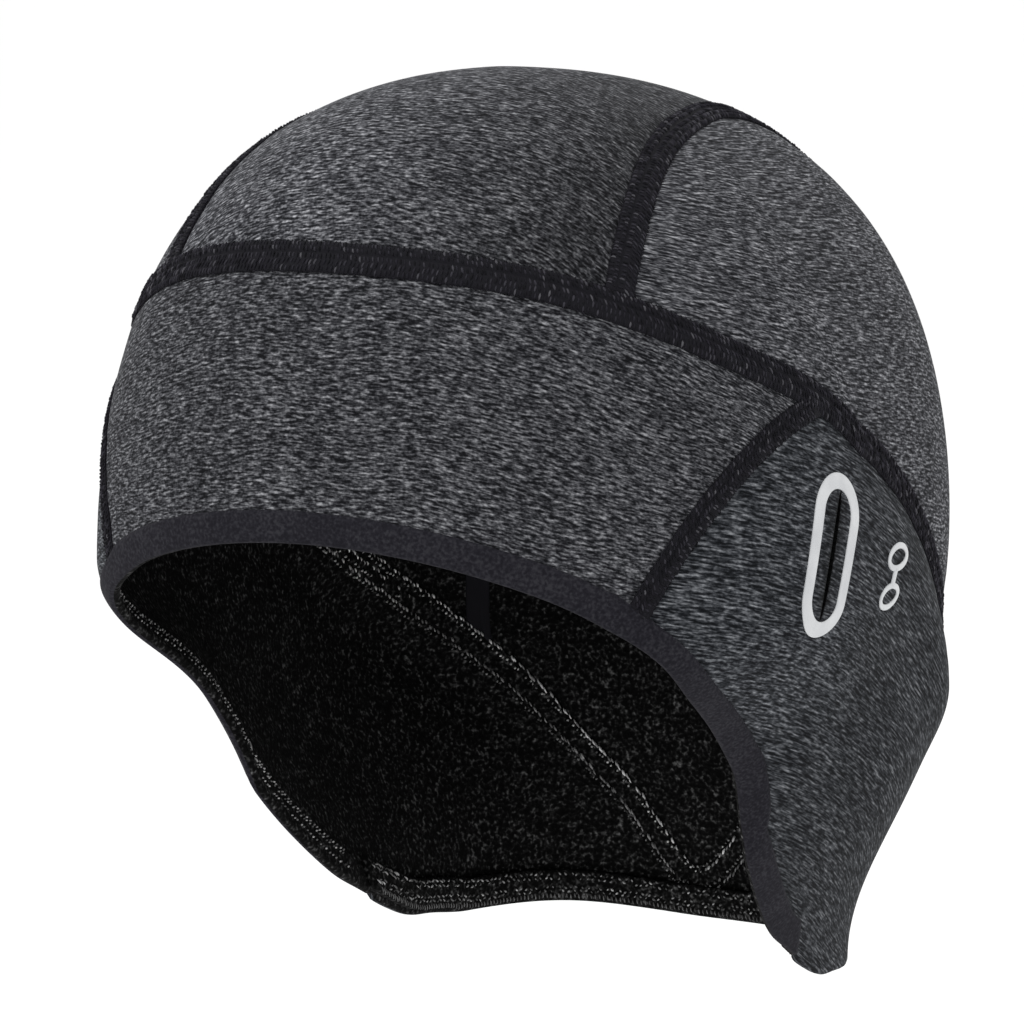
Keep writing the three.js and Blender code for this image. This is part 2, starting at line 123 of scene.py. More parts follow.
CROWN_SEAM = np.array([(-85, 55), (-50, 48.9), (-20, 42.8), (10, 37.3), (30, 34.8), (52, 35.6), (80, 44.5),
                       (110, 57), (145, 63)])  # behind the top and out from the middle, on the worn cap
BAND_HALF, CROWN_HALF, EAR_HALF = 3.2, 3.0, 2.4  # half the width of each seam
UNDER = 1.1  # how far the cloth runs in under the edge of a seam
BAND_IN, CROWN_IN, EAR_IN = BAND_HALF - UNDER, CROWN_HALF - UNDER, EAR_HALF - UNDER
FRONT_SEARCH, NAPE_SEARCH = -90, 200  # behind the top, beyond where the crown seams meet the band seam
SUNK, SUNK_OUTSIDE, SUNK_INSIDE = 0.45, 1.4, 1.7  # how deep and how wide a border dips under its seam
PUCKER = {"height": 0.05, "reach": 6.0, "turn": 0.7, "phase": 6.3, "waves": 5}
# Painted shade: the crown centre's heather is scaled darker across it, away from the key lamp's side.
CROWN_PAINTED_SHADE = {"most": 1.08, "fall": 0.014, "from": -12, "to": 40}  # a little darker on the wearer's left
UV_MM = 100.0  # for each unit of the cloth's UV
STEP = 0.5  # how far run_of looks to either side
ACROSS, BACK = np.array([1.0, 0.0]), np.array([0.0, 1.0])


def ease(value):
    """0 below 0, 1 above 1, and 3v² − 2v³ between."""
    v = np.clip(value, 0.0, 1.0)
    return v * v * (3 - 2 * v)


def smooth_table(rows, at):
    """A smooth curve through (key, value) rows, level at both ends: cubic pieces whose slope at each inner
    row is that between its two neighbours."""
    keys, values = rows.T.astype(float)
    slopes = np.zeros(len(rows))
    slopes[1:-1] = (values[2:] - values[:-2]) / (keys[2:] - keys[:-2])
    i = np.clip(np.searchsorted(keys, at) - 1, 0, len(rows) - 2)
    run = keys[i + 1] - keys[i]
    t = (at - keys[i]) / run
    bend = t * (1 - t) * run * ((1 - t) * slopes[i] - t * slopes[i + 1])
    return values[i] + (values[i + 1] - values[i]) * t * t * (3 - 2 * t) + bend


def round_and_down(place):
    """Chart places as radians round from the front and millimetres down from the top."""
    return np.arctan2(place[..., 0], -place[..., 1]), np.hypot(place[..., 0], place[..., 1])


def cap_point(place):
    """The worn outer face above chart places. spread = sin s (1 + f cos² s), with s = 90° down / reach;
    below the widest line the cloth hangs straight and is drawn in at the cheeks and the neck. Behind the
    ears the band seam draws it in a little, and the ear panel swells out below the seam."""
    around, down = round_and_down(place)
    degrees = np.abs(np.degrees(around))
    front = np.cos(around) > 0
    sideways, lengthways = np.sin(around) ** 2, np.cos(around) ** 2
    slope = np.clip(down / DOME_REACH, 0, 1) * np.pi / 2
    fullness = FULLNESS["side"] * sideways + np.where(front, FULLNESS["front"], FULLNESS["back"]) * lengthways
    spread = np.sin(slope) * (1 + fullness * np.cos(slope) ** 2)
    below = np.maximum(down - DOME_REACH, 0)
    off_cheek = (degrees - CHEEK_TUCK["degrees"]) / CHEEK_TUCK["spread"]
    cheek = CHEEK_TUCK["depth"] * np.exp(-off_cheek ** 2) * ease(below / CHEEK_TUCK["run"])
    neck = ease((below - NECK_TUCK["from"]) / NECK_TUCK["run"])
    off_seam = down - smooth_table(BAND_SEAM, degrees)
    drawn = SEAM_DRAW["depth"] * np.exp(-(off_seam / SEAM_DRAW["reach"]) ** 2)
    drawn = drawn - SEAM_DRAW["swell"] * np.exp(-((off_seam - SEAM_DRAW["below"]) / SEAM_DRAW["run"]) ** 2)
    starts, full, fades, stops = SEAM_DRAW_ROUND
    drawn = drawn * ease((degrees - starts) / (full - starts)) * ease((stops - degrees) / (stops - fades))
    width = HALF_WIDTH - cheek - NECK_TUCK["sides"] * neck - drawn
    depth = np.where(front, FRONT_DEPTH, BACK_DEPTH - NECK_TUCK["back"] * neck - drawn)
    square = np.where(front, SQUARENESS["front"], SQUARENESS["back"])
    return np.stack([
        width * spread * np.sin(around) * (1 + square * lengthways),
        -depth * spread * np.cos(around) * (1 + square * sideways),
        DOME_HEIGHT * (np.cos(slope) - 1) - below + CLOTH,
    ], axis=-1)


def unit(vectors):
    return vectors / np.linalg.norm(vectors, axis=-1, keepdims=True)


def run_of(place, direction):
    """How the worn cloth runs for each millimetre moved on the chart."""
    return (cap_point(place + direction * STEP) - cap_point(place - direction * STEP)) / (2 * STEP)


def normal_at(place):
    return unit(np.cross(run_of(place, ACROSS), run_of(place, BACK)))


def lifted(place, lift):
    """point + lift × unit normal."""
    return cap_point(place) + normal_at(place) * np.asarray(lift, float)[..., None]


def radial(degrees, down):
    angle = np.radians(degrees)
    return np.stack([down * np.sin(angle), -down * np.cos(angle)], axis=-1)


def from_front(degrees):
    """0 at the front to 180 at the back, on either side."""
    return np.abs((np.asarray(degrees, float) + 540) % 360 - 180)


class RoundLine:
    """A line round the cap, given by degrees."""

    def __init__(self, rows):
        self.rows = rows

    def point(self, degrees):
        return radial(degrees, smooth_table(self.rows, from_front(degrees)))

    def aside(self, degrees):
        return radial(degrees, np.ones(np.shape(degrees)))


class LengthLine:
    """A line from front to back, given by how far behind the top each place of the chart lies."""

    def __init__(self, aside_at):
        self.aside_at = aside_at

    def point(self, behind):
        behind = np.asarray(behind, float)
        return np.stack([self.aside_at(behind), behind], axis=-1)

    def aside(self, behind):
        return np.broadcast_to(ACROSS, np.shape(behind) + (2,))


def crown_aside(behind):
    """Halving: where the worn cloth's x is that of the crown seam's table at its y."""
    near, far = np.zeros_like(behind), np.full_like(behind, 2 * DOME_REACH)
    for _ in range(40):
        middle = (near + far) / 2
        place = np.stack([middle, behind], axis=-1)
        long = np.hypot(middle, behind)
        worn = cap_point(place * np.minimum(1, DOME_REACH / np.maximum(long, 1e-9))[..., None])
        inside = worn[..., 0] < smooth_table(CROWN_SEAM, worn[..., 1])
        near, far = np.where(inside, middle, near), np.where(inside, far, middle)
    return near


def beside(line, at, distance):
    """The place beside a line at a distance measured square to it on the worn cloth:
    aside × distance |T| / |V × T|, with T along the line and V aside."""
    at = np.asarray(at, float)
    place = line.point(at)
    along = run_of(place, unit(line.point(at + STEP) - line.point(at - STEP)))
    out = run_of(place, line.aside(at))
    scale = np.linalg.norm(along, axis=-1) / np.linalg.norm(np.cross(out, along), axis=-1)
    return place + line.aside(at) * (np.asarray(distance, float) * scale)[..., None]


def crossing(lengthways, aside_one, round_line, aside_two, search_end):
    """Halving, from the top to search_end: where a line from front to back, moved aside, meets a round line,
    moved aside. Returns millimetres behind the top, and degrees round."""
    aside_one = np.asarray(aside_one, float)
    near, far = np.zeros(aside_one.shape), np.full(aside_one.shape, float(search_end))
    for _ in range(30):
        middle = (near + far) / 2
        around, down = round_and_down(beside(lengthways, middle, aside_one))
        _, limit = round_and_down(beside(round_line, np.degrees(around), aside_two))
        near, far = np.where(down < limit, middle, near), np.where(down < limit, far, middle)
    around, _ = round_and_down(beside(lengthways, near, aside_one))
    return near, np.degrees(around)


def coons(first, last, top, bottom, rows, columns):
    """(1−u) first(v) + u last(v) + (1−v) top(u) + v bottom(u) − the blend of the four corners."""
    u, v = np.linspace(0, 1, rows), np.linspace(0, 1, columns)
    U, V = u[:, None, None], v[None, :, None]
    a, b, c, d = first(v)[None], last(v)[None], top(u)[:, None], bottom(u)[:, None]
    corners = ((1 - U) * (1 - V) * a[:, :1] + (1 - U) * V * a[:, -1:]
               + U * (1 - V) * b[:, :1] + U * V * b[:, -1:])
    return (1 - U) * a + U * b + (1 - V) * c + V * d - corners


def border(line, start, end, distance):
    """The way beside a line from start to end. Its distance is a number, or is asked for at each place."""
    def way(share):
        at = start + (end - start) * share
        return beside(line, at, distance(at) if callable(distance) else distance)

    return way


def mirrored(way):
    return lambda share: way(share) * [-1, 1]


def sweep(loops, ring=False):
    """Quads that join each closed loop of points to the next, with a ladder over each open end. Returns the
    flat points, the quads and, for each quad, its column in the loop."""
    stations, count = loops.shape[:2]
    index = np.arange(stations * count).reshape(stations, count)
    following = np.roll(index, -1, axis=0) if ring else index[1:]
    here = index if ring else index[:-1]
    quads = np.stack([here, np.roll(here, -1, 1), np.roll(following, -1, 1), following], axis=-1)
    columns = np.broadcast_to(np.arange(count), quads.shape[:2])
    quads, columns = quads.reshape(-1, 4), columns.ravel()
    if not ring:
        j = np.arange(count // 2 - 1)
        ends = []
        for row, order in ((index[0], 1), (index[-1], -1)):
            rung = np.stack([row[j], row[count - 1 - j], row[count - 2 - j], row[j + 1]], axis=-1)
            ends.append(rung[:, ::order])
        quads = np.concatenate([quads, *ends])
        columns = np.concatenate([columns, np.tile(j, 2)])
    return loops.reshape(-1, 3), quads, columns


def part(points, quads, slot=0, uv=None, shade=0.5):
    """One part of a joined mesh. slot is a number or one for each quad; shade one for each point."""
    return {
        "points": points, "quads": quads, "slot": np.broadcast_to(slot, len(quads)),
        "uv": np.zeros((len(points), 2)) if uv is None else uv, "shade": np.broadcast_to(shade, len(points)),
    }


def joined(name, parts, materials, mirror=False):
    """One object, in metres, from parts in millimetres. Its closed shells are turned to face outward."""
    start, points, quads = 0, [], []
    for one in parts:
        shell = one["points"] * (np.array([-1, 1, 1]) if mirror else 1)
        a, b, c, d = np.moveaxis(shell[one["quads"]], 1, 0)
        volume = (a * (np.cross(b - a, c - a) + np.cross(c - a, d - a))).sum()
        points.append(shell)
        quads.append((one["quads"] if volume > 0 else one["quads"][:, ::-1]) + start)
        start += len(shell)
    points, quads = np.concatenate(points) * 0.001, np.concatenate(quads)
    mesh = bpy.data.meshes.new(name)
    mesh.vertices.add(len(points))
    mesh.vertices.foreach_set("co", points.ravel())
    mesh.loops.add(quads.size)
    mesh.loops.foreach_set("vertex_index", quads.ravel().astype(np.int32))
    mesh.polygons.add(len(quads))
    mesh.polygons.foreach_set("loop_start", np.arange(0, quads.size, 4, dtype=np.int32))
    mesh.polygons.foreach_set("material_index", np.concatenate([p["slot"] for p in parts]).astype(np.int32))
    mesh.polygons.foreach_set("use_smooth", np.ones(len(quads), bool))
    mesh.update(calc_edges=True)
    uv = np.concatenate([p["uv"] for p in parts])[quads.ravel()]
    mesh.uv_layers.new(name="cloth").data.foreach_set("uv", uv.ravel().astype(np.float32))
    shade = mesh.attributes.new("shade", "FLOAT", "POINT")
    shade.data.foreach_set("value", np.concatenate([p["shade"] for p in parts]).astype(np.float32))
    mesh.validate()
    for one in materials:
        mesh.materials.append(one)
    made = bpy.data.objects.new(name, mesh)
    bpy.context.collection.objects.link(made)
    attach(made, "root")
    return made


def lengths(points, axis):
    """Millimetres along each row of a grid from its start."""
    run = np.cumsum(np.linalg.norm(np.diff(points, axis=axis), axis=-1), axis=axis)
    return np.concatenate([np.zeros_like(np.take(run, [0], axis=axis)), run], axis=axis)


def puckers(places, near, seed):
    """Small waves of cloth beside a seam, which die away from it."""
    x, y = places[..., 0], places[..., 1]
    rng = np.random.default_rng(seed)
    most = np.array([PUCKER["turn"], PUCKER["turn"], PUCKER["phase"]])
    turns = rng.uniform(most * [-1, -1, 0], most, (PUCKER["waves"], 3))
    waves = sum(np.sin(x * a + y * b + c) for a, b, c in turns)
    return PUCKER["height"] * waves * np.exp(-near / PUCKER["reach"])


def cloth(name, places, sunk, seed, grain=None, tone=1.0, mirror=False, face_cloth=None):
    """A bonded cloth panel over a grid of chart places: heather or face_cloth outside, fleece inside, round
    edges. sunk names the borders that dip in under a seam. grain gives millimetres along and across the
    streaks at each place, and tone how much the heather is lightened or darkened there, which is painted
    light and shade. Returns the piece, and the area, length and width that it has when worn, in metres."""
    face = cap_point(places)
    along, wide = lengths(face, 0), lengths(face, 1)
    away = {"first": along, "last": along[-1:] - along, "top": wide, "bottom": wide[:, -1:] - wide}
    near = np.min([away[side] for side in sunk], axis=0)
    outer = lifted(places, puckers(places, near, seed) - SUNK * np.exp(-(near / SUNK_OUTSIDE) ** 2))
    inner = lifted(places, -CLOTH + SUNK * np.exp(-(near / SUNK_INSIDE) ** 2))
    middle = (outer + inner) / 2
    if grain is None:
        grain = np.stack([along - along[len(along) // 2], wide - wide[:, [wide.shape[1] // 2]]], axis=-1)
    shade = np.broadcast_to(tone, along.shape)

    def rim(column, beyond, turns):
        rise = outer[:, column] - middle[:, column]
        out = unit(outer[:, column] - outer[:, beyond]) * np.linalg.norm(rise, axis=-1)[:, None]
        return [middle[:, column] + rise * np.cos(t) + out * np.sin(t) for t in turns]

    def rim_grain(column, beyond, turns):
        out = unit(grain[:, column] - grain[:, beyond])
        return [grain[:, column] + out * CLOTH / 2 * t for t in turns]

    def loops(edge, above, under):
        t = np.radians([36, 72, 108, 144])
        return np.stack([*edge(0, 1, t[[1, 0]]), *np.moveaxis(above, 1, 0), *edge(-1, -2, t),
                         *np.moveaxis(under[:, ::-1], 1, 0), *edge(0, 1, t[[3, 2]])], axis=1)

    points, quads, columns = sweep(loops(rim, outer, inner))
    count = places.shape[1]
    turned = [0, 0, *range(count), *[-1] * 4, *range(count)[::-1], 0, 0]
    inside = (columns >= count + 4) & (columns <= 2 * count + 4)
    uv = loops(rim_grain, grain, grain).reshape(-1, 2) / UV_MM
    solid = part(points, quads, inside.astype(int), uv, shade[:, turned].ravel())
    made = joined(name, [solid], [face_cloth or heather, fleece], mirror)
    area = np.linalg.norm(np.cross(np.diff(face, axis=0)[:, :-1], np.diff(face, axis=1)[:-1]), axis=-1).sum()
    return made, area * 1e-6, float(along[-1].mean()) * 0.001, float(wide[:, -1].max()) * 0.001


def node(tree, kind, values=None, **settings):
    """Adds one shader node. A value that is a socket is linked, and any other is set on the socket."""
    made = tree.nodes.new("ShaderNode" + kind)
    for name, value in settings.items():
        setattr(made, name, value)
    for name, value in (values or {}).items():
        if isinstance(value, bpy.types.NodeSocket):
            tree.links.new(value, made.inputs[name])
        else:
            made.inputs[name].default_value = value
    return made


def colour_ramp(tree, value, stops):
    """A colour ramp with (place, grey or colour) stops."""
    ramp = node(tree, "ValToRGB", {"Fac": value})
    for i, (place, colour) in enumerate(stops):
        stop = ramp.color_ramp.elements[i] if i < 2 else ramp.color_ramp.elements.new(place)
        stop.position = place
        stop.color = (*(colour if isinstance(colour, tuple) else (colour,) * 3), 1)
    return ramp.outputs["Color"]


def streaks(tree, place, long, thick, detail, seed):
    """Noise drawn out along the grain: streaks of about long × thick millimetres."""
    scaled = node(tree, "Mapping", {
        "Vector": place, "Location": (seed, seed * 1.7, 0), "Rotation": (0, 0, 0.6 + seed),
        "Scale": (UV_MM / long, UV_MM / thick, 1)})
    return node(tree, "TexNoise", {"Vector": scaled.outputs["Vector"], "Scale": 1.0, "Detail": detail,
                                   "Roughness": 0.55}, noise_dimensions="2D").outputs[0]


def speckle(tree, scale, detail=2.0):
    """Noise in the object's own place, of about so many specks a metre."""
    place = node(tree, "TexCoord").outputs["Object"]
    return node(tree, "TexNoise", {"Vector": place, "Scale": scale, "Detail": detail}).outputs[0]


def mixed(tree, *pairs):
    """The weighted sum of values."""
    total = 0.0
    for value, weight in pairs:
        total = node(tree, "Math", {0: value, 1: weight, 2: total}, operation="MULTIPLY_ADD").outputs[0]
    return total


def shade_of(tree):
    """The number that the mesh carries at each point."""
    return node(tree, "Attribute", attribute_name="shade", attribute_type="GEOMETRY").outputs["Fac"]


def dress(tree, shader, colour, height=None, strength=0.0, distance=0.0):
    """Links a colour to the shader and, where there is one, a height as relief of so many metres."""
    tree.links.new(colour, shader.inputs["Base Color"])
    if height is not None:
        relief = node(tree, "Bump", {"Height": height, "Strength": strength, "Distance": distance})
        tree.links.new(relief.outputs["Normal"], shader.inputs["Normal"])


def linear(srgb):
    """Screen brightness 0..255 as a light value."""
    value = np.clip(np.asarray(srgb, float), 0, 255) / 255
    return np.where(value < 0.04045, value / 12.92, ((value + 0.055) / 1.055) ** 2.4)


HEATHER_MIDDLE, HEATHER_SPREAD = 0.5, 0.068  # of the streak noise
HEATHER_GREY, HEATHER_SWING, HEATHER_DARKEST = 55.0, 33.5, 10.0  # of the cloth, as screen brightness
DARK_SWING = 0.8  # the dark yarns differ by this share of what the light ones do


def heather_jersey(name, tint):
    """Streaks of light and dark yarn; tint is added to the screen colour of each stop."""
    made, tree, shader = material(name, 0.95, 0.15)
    place = node(tree, "UVMap", uv_map="cloth").outputs["UV"]
    wander = node(tree, "TexNoise", {"Vector": place, "Scale": 4.5, "Detail": 0.0}, noise_dimensions="2D")
    bent = node(tree, "VectorMath", {0: wander.outputs["Color"], 1: (0.0, 0.01, 0.0)}, operation="MULTIPLY")
    warped = node(tree, "VectorMath", {0: place, 1: bent.outputs[0]}, operation="ADD").outputs[0]
    fine = streaks(tree, warped, 1.8, 0.47, 1.0, 0.0)
    long_streaks = streaks(tree, warped, 4.0, 0.58, 1.0, 3.1)
    fluff = streaks(tree, warped, 0.65, 0.55, 1.0, 5.3)
    patches = streaks(tree, warped, 17.0, 7.0, 2.0, 7.7)
    melange = mixed(tree, (fine, 0.42), (long_streaks, 0.3), (fluff, 0.2), (patches, 0.08))
    stops = []
    for step in (-2.2, -1.4, -0.7, 0.0, 0.7, 1.4, 2.2, 3.0):
        grey = max(HEATHER_GREY + HEATHER_SWING * step * (1.0 if step > 0 else DARK_SWING), HEATHER_DARKEST)
        colour = tuple(float(v) for v in linear(grey + np.array(tint)))
        stops.append((HEATHER_MIDDLE + HEATHER_SPREAD * step, colour))
    tone = colour_ramp(tree, melange, stops)
    # The heather's colour is scaled by the mesh's shade: painted light and shade on each panel.
    toned = node(tree, "VectorMath", {0: tone, "Scale": shade_of(tree)}, operation="SCALE").outputs[0]
    dress(tree, shader, toned, melange, 0.4, 0.0004)
    return made


heather = heather_jersey("heather_jersey", (-0.6, 0.0, 3.6))

fleece, tree, shader = material("brushed_fleece", 1.0, 0.1)
pile = mixed(tree, (speckle(tree, 1050.0, 1.0), 0.8), (speckle(tree, 300.0), 0.2))
tone = colour_ramp(tree, pile, [(0.4, 0.0008), (0.5, 0.0028), (0.58, 0.0115), (0.66, 0.043), (0.76, 0.12)])
dress(tree, shader, tone, pile, 0.5, 0.0008)

band_line, edge_line, crown_line = RoundLine(BAND_SEAM), RoundLine(CAP_EDGE), LengthLine(crown_aside)
front_behind, front_around = crossing(crown_line, -CROWN_IN, band_line, -BAND_IN, FRONT_SEARCH)
back_behind, back_around = crossing(crown_line, -CROWN_IN, band_line, -BAND_IN, NAPE_SEARCH)
left_border = border(crown_line, front_behind, back_behind, -CROWN_IN)
crown_places = coons(
    border(band_line, -front_around, front_around, -BAND_IN),
    border(band_line, 360 - back_around, back_around, -BAND_IN), mirrored(left_border), left_border, 261, 101)
# The crown centre's painted shade goes by how far across the crown each place lies.
crown_shade_across = np.clip(crown_places[..., 0], CROWN_PAINTED_SHADE["from"], CROWN_PAINTED_SHADE["to"])
crown_center, *crown_sheet = cloth(
    "crown_center_cloth", crown_places, ["first", "last", "top", "bottom"], 1, grain=crown_places * [1, 0.85],
    tone=CROWN_PAINTED_SHADE["most"] - CROWN_PAINTED_SHADE["fall"] * crown_shade_across)
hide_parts("crown_center")

# Crown sides: the panels over the temple and ear, between a crown seam and the band seam
# Real pieces: the same bonded cloth, a rounded triangle each, sewn flat to their neighbours.
TIP = 0.1  # how far short of its two points each triangle stops, in millimetres and in degrees
# The last of these lightens the crown sides' heather all over: painted light.
SIDE_MIDDLE, SIDE_DRAWN_OUT, SIDE_SLANT, SIDE_PAINTED_LIGHT = np.radians(85), 0.65, 0.2, 1.1


def both_sides(make):
    """The left piece and its mirror image on the right."""
    return {"left": make("left", False), "right": make("right", True)}


def straight(start, end):
    return lambda share: start + (end - start) * share[:, None]


side_front = crossing(crown_line, CROWN_IN, band_line, -BAND_IN, FRONT_SEARCH)
side_back = crossing(crown_line, CROWN_IN, band_line, -BAND_IN, NAPE_SEARCH)
side_top = border(crown_line, side_front[0] + TIP, side_back[0] - TIP, CROWN_IN)
side_bottom = border(band_line, side_front[1] + TIP, side_back[1] - TIP, -BAND_IN)
ends = np.array([0.0, 1.0])
side_places = coons(
    straight(side_top(ends)[0], side_bottom(ends)[0]), straight(side_top(ends)[1], side_bottom(ends)[1]),
    side_top, side_bottom, 181, 81)
side_turn, side_down = round_and_down(side_places)
side_turn = side_turn - SIDE_MIDDLE
# The streaks run round the head and slant down towards the back.
side_grain = np.stack([
    SIDE_DRAWN_OUT * side_down * side_turn, side_down * np.exp(-SIDE_SLANT * side_turn)], axis=-1)
crown_side = both_sides(lambda side, mirror: cloth(
    f"crown_side_{side}_cloth", side_places, ["top", "bottom"], 2, side_grain, SIDE_PAINTED_LIGHT, mirror))
for side, (piece, *_) in crown_side.items():
    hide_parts(f"crown_side_{side}")

# Forehead band: between the band seam and the binding, from one ear seam to the other
# Real piece: a strip of the same cloth, its streaks running round the head.
EAR_SEAM = {"fore": (-115.0, 99.7), "rear": (-23.0, 109.6)}  # behind the top and out from the middle
EAR_TOP_SEARCH, EAR_FOOT_SEARCH = -60, -125  # behind the top, beyond the ends of the ear seam
BINDING_END, BINDING_WIDTH, BINDING_FOLD = 104.6, 6.6, 1.2
CLOTH_STOP = {"inset": 1.75, "lasts": 2.8, "fades": 1.2}  # inside the edge, and degrees beyond the binding
# This darkens the forehead band's heather all over: painted shade.
FOREHEAD_PAINTED_SHADE = 0.88


def ear_aside(behind):
    """The ear seam is a straight line on the chart."""
    (near, near_aside), (far, far_aside) = EAR_SEAM["fore"], EAR_SEAM["rear"]
    return near_aside + (far_aside - near_aside) * (behind - near) / (far - near)


def edge_inset(degrees):
    """The cloth stops inside the fold of the binding, and runs to the edge beyond the binding's end."""
    beyond = from_front(degrees) - BINDING_END - CLOTH_STOP["lasts"]
    return -CLOTH_STOP["inset"] * (1 - ease(beyond / CLOTH_STOP["fades"]))


ear_line = LengthLine(ear_aside)
fore_top = crossing(ear_line, -EAR_IN, band_line, BAND_IN, EAR_TOP_SEARCH)
fore_foot = crossing(ear_line, -EAR_IN, edge_line, -CLOTH_STOP["inset"], EAR_FOOT_SEARCH)
fore_left = border(ear_line, fore_top[0], fore_foot[0], -EAR_IN)
fore_places = coons(
    mirrored(fore_left), fore_left, border(band_line, -fore_top[1], fore_top[1], BAND_IN),
    border(edge_line, -fore_foot[1], fore_foot[1], edge_inset), 201, 61)
forehead, *fore_sheet = cloth(
    "forehead_band_cloth", fore_places, ["first", "last", "top"], 3, tone=FOREHEAD_PAINTED_SHADE)
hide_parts("forehead_band")

# Ear panels: over the ears and round the nape, each slit for the arm of a pair of glasses
# Real pieces: the same cloth, cut so that its streaks run down towards the nape; the slit is a plain cut.
SLIT = {"around": 78.6, "down": 140.6, "lean": 20.0, "length": 26.4, "width": 1.4}
KNIFE_TOP, KNIFE_FOOT = 1.5, -4.5  # the cut goes right through the cloth
# Painted shade on the ear panels' heather: how light it is at the front, how much darker it grows towards the
# back, from which degree and over how many, and how much darker inside the printed ring.
EAR_PAINTED_SHADE = {"fore": 0.76, "fall": 0.24, "from": 72, "run": 30, "in_ring": 0.28}
RING_SPINE, RING_REACH = 17.0, 6.5  # the part inside the printed ring
ear_top = crossing(ear_line, EAR_IN, band_line, BAND_IN, EAR_TOP_SEARCH)
ear_foot = crossing(ear_line, EAR_IN, edge_line, -CLOTH_STOP["inset"], EAR_FOOT_SEARCH)
ear_first = border(ear_line, ear_top[0], ear_foot[0], EAR_IN)
ear_upper = border(band_line, ear_top[1], 180.0, BAND_IN)
ear_lower = border(edge_line, ear_foot[1], 180.0, edge_inset)
ear_places = coons(
    ear_first, straight(ear_upper(ends)[1], ear_lower(ends)[1]), ear_upper, ear_lower, 241, 91)


def mark_frame(mark):
    """Chart places about a mark's middle, from millimetres across and up it; it leans back from upright."""
    middle = radial(mark["around"], np.array(mark["down"]))
    ways = [radial(mark["around"] + turned, np.array(1.0)) for turned in (90, 0)]
    round_way, down_way = (way / np.linalg.norm(run_of(middle, way)) for way in ways)
    lean = np.radians(mark["lean"])

    def draw(across, up):
        across, up = np.broadcast_arrays(np.asarray(across, float), np.asarray(up, float))
        level_part = across * np.cos(lean) + up * np.sin(lean)
        rise_part = up * np.cos(lean) - across * np.sin(lean)
        return middle + round_way * level_part[..., None] - down_way * rise_part[..., None]

    return draw


def closed(outside, inside, ring=False):
    """One closed shell from two grids of points, face to face."""
    return sweep(np.concatenate([outside, inside[:, ::-1]], axis=1), ring)


# The streaks run round the head and slant down, gently at the temple and more behind the ear. Each table
# goes by degrees: how steep they are, and how much they are drawn out, the smaller the longer.
SLANT = np.array([(40, 0.12), (60, 0.22), (80, 0.34), (95, 0.46), (112, 0.6), (135, 0.5), (180, 0.2)])
DRAWN_OUT = np.array([(40, 0.68), (72, 0.64), (98, 0.46), (180, 0.42)])
round_degrees = np.linspace(0, 180, 721)
round_run = lengths(cap_point(radial(round_degrees, np.full_like(round_degrees, DOME_REACH))), 0)
slanted, drawn_out = (
    np.concatenate([[0], np.cumsum(np.diff(round_run) * np.interp(round_degrees[1:], *rows.T))])
    for rows in (SLANT, DRAWN_OUT))
ear_turn, ear_down = round_and_down(ear_places)
ear_turn = np.degrees(ear_turn)
ear_grain = np.stack([np.interp(ear_turn, round_degrees, drawn_out),
                      ear_down - np.interp(ear_turn, round_degrees, slanted)], axis=-1)
slit_draw = mark_frame(SLIT)
ring_spine = slit_draw(0.0, np.linspace(-0.5, 0.5, 9) * RING_SPINE)
off_spine = np.linalg.norm(ear_places[:, :, None] - ring_spine, axis=-1).min(axis=-1)
# The panel is darker towards the back, and darker again inside the printed ring: painted shade, where the
# back turns from the light and where the slit's edges turn in.
ear_painted_shade = EAR_PAINTED_SHADE["fore"] - EAR_PAINTED_SHADE["fall"] * ease((ear_turn - EAR_PAINTED_SHADE["from"]) / EAR_PAINTED_SHADE["run"])
ear_painted_shade = ear_painted_shade - EAR_PAINTED_SHADE["in_ring"] * np.exp(-(off_spine / RING_REACH) ** 6)
slit_up = np.linspace(-0.5, 0.5, 25) * SLIT["length"]
slit_half = SLIT["width"] / 2 * (0.15 + 0.85 * np.sqrt(1 - (slit_up / slit_up[-1]) ** 2))
slit_places = slit_draw(np.stack([-slit_half, slit_half], axis=1), slit_up[:, None])
knife_points, knife_quads, _ = closed(lifted(slit_places, KNIFE_TOP), lifted(slit_places, KNIFE_FOOT))

heather_blue = heather_jersey("heather_jersey_bluish", (-2.2, 0.2, 4.6))
# The slit's walls are near-black: painted shade inside the cut.
slit_painted_shade, tree, shader = material("slit_painted_shade", 1.0, 0.0)
dress(tree, shader, colour_ramp(tree, speckle(tree, 1200.0), [(0.35, 0.0012), (0.7, 0.006)]))


def ear_panel(side, mirror):
    """One panel with its slit cut; its slit walls have the third material, near-black painted shade."""
    piece, *sizes = cloth(
        f"ear_panel_{side}_cloth", ear_places, ["first", "top"], 4, ear_grain, ear_painted_shade, mirror, heather_blue)
    piece.data.materials.append(slit_painted_shade)
    knife = joined("knife", [part(knife_points, knife_quads, 2)], [heather_blue, fleece, slit_painted_shade], mirror)
    cut = piece.modifiers.new("slit", "BOOLEAN")
    cut.operation, cut.object, cut.solver = "DIFFERENCE", knife, "EXACT"
    shape = bpy.data.meshes.new_from_object(piece.evaluated_get(bpy.context.evaluated_depsgraph_get()))
    piece.modifiers.remove(cut)
    piece.data = shape
    bpy.data.objects.remove(knife)
    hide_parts(f"ear_panel_{side}")
    return piece, *sizes


ear_panels = both_sides(ear_panel)

# Band seam: the flat seam all round, high over the forehead and meeting the hem at the nape
# Real piece: two cloth edges butted and joined by many looped black threads, which stand up in two ridges
# outside; inside, rows of grey stitches show on the fleece.
GROOVE = -0.3  # where the groove between the two ridges lies, towards the crown
SEAM_LOW, SEAM_RIDGE = 0.12, 0.34
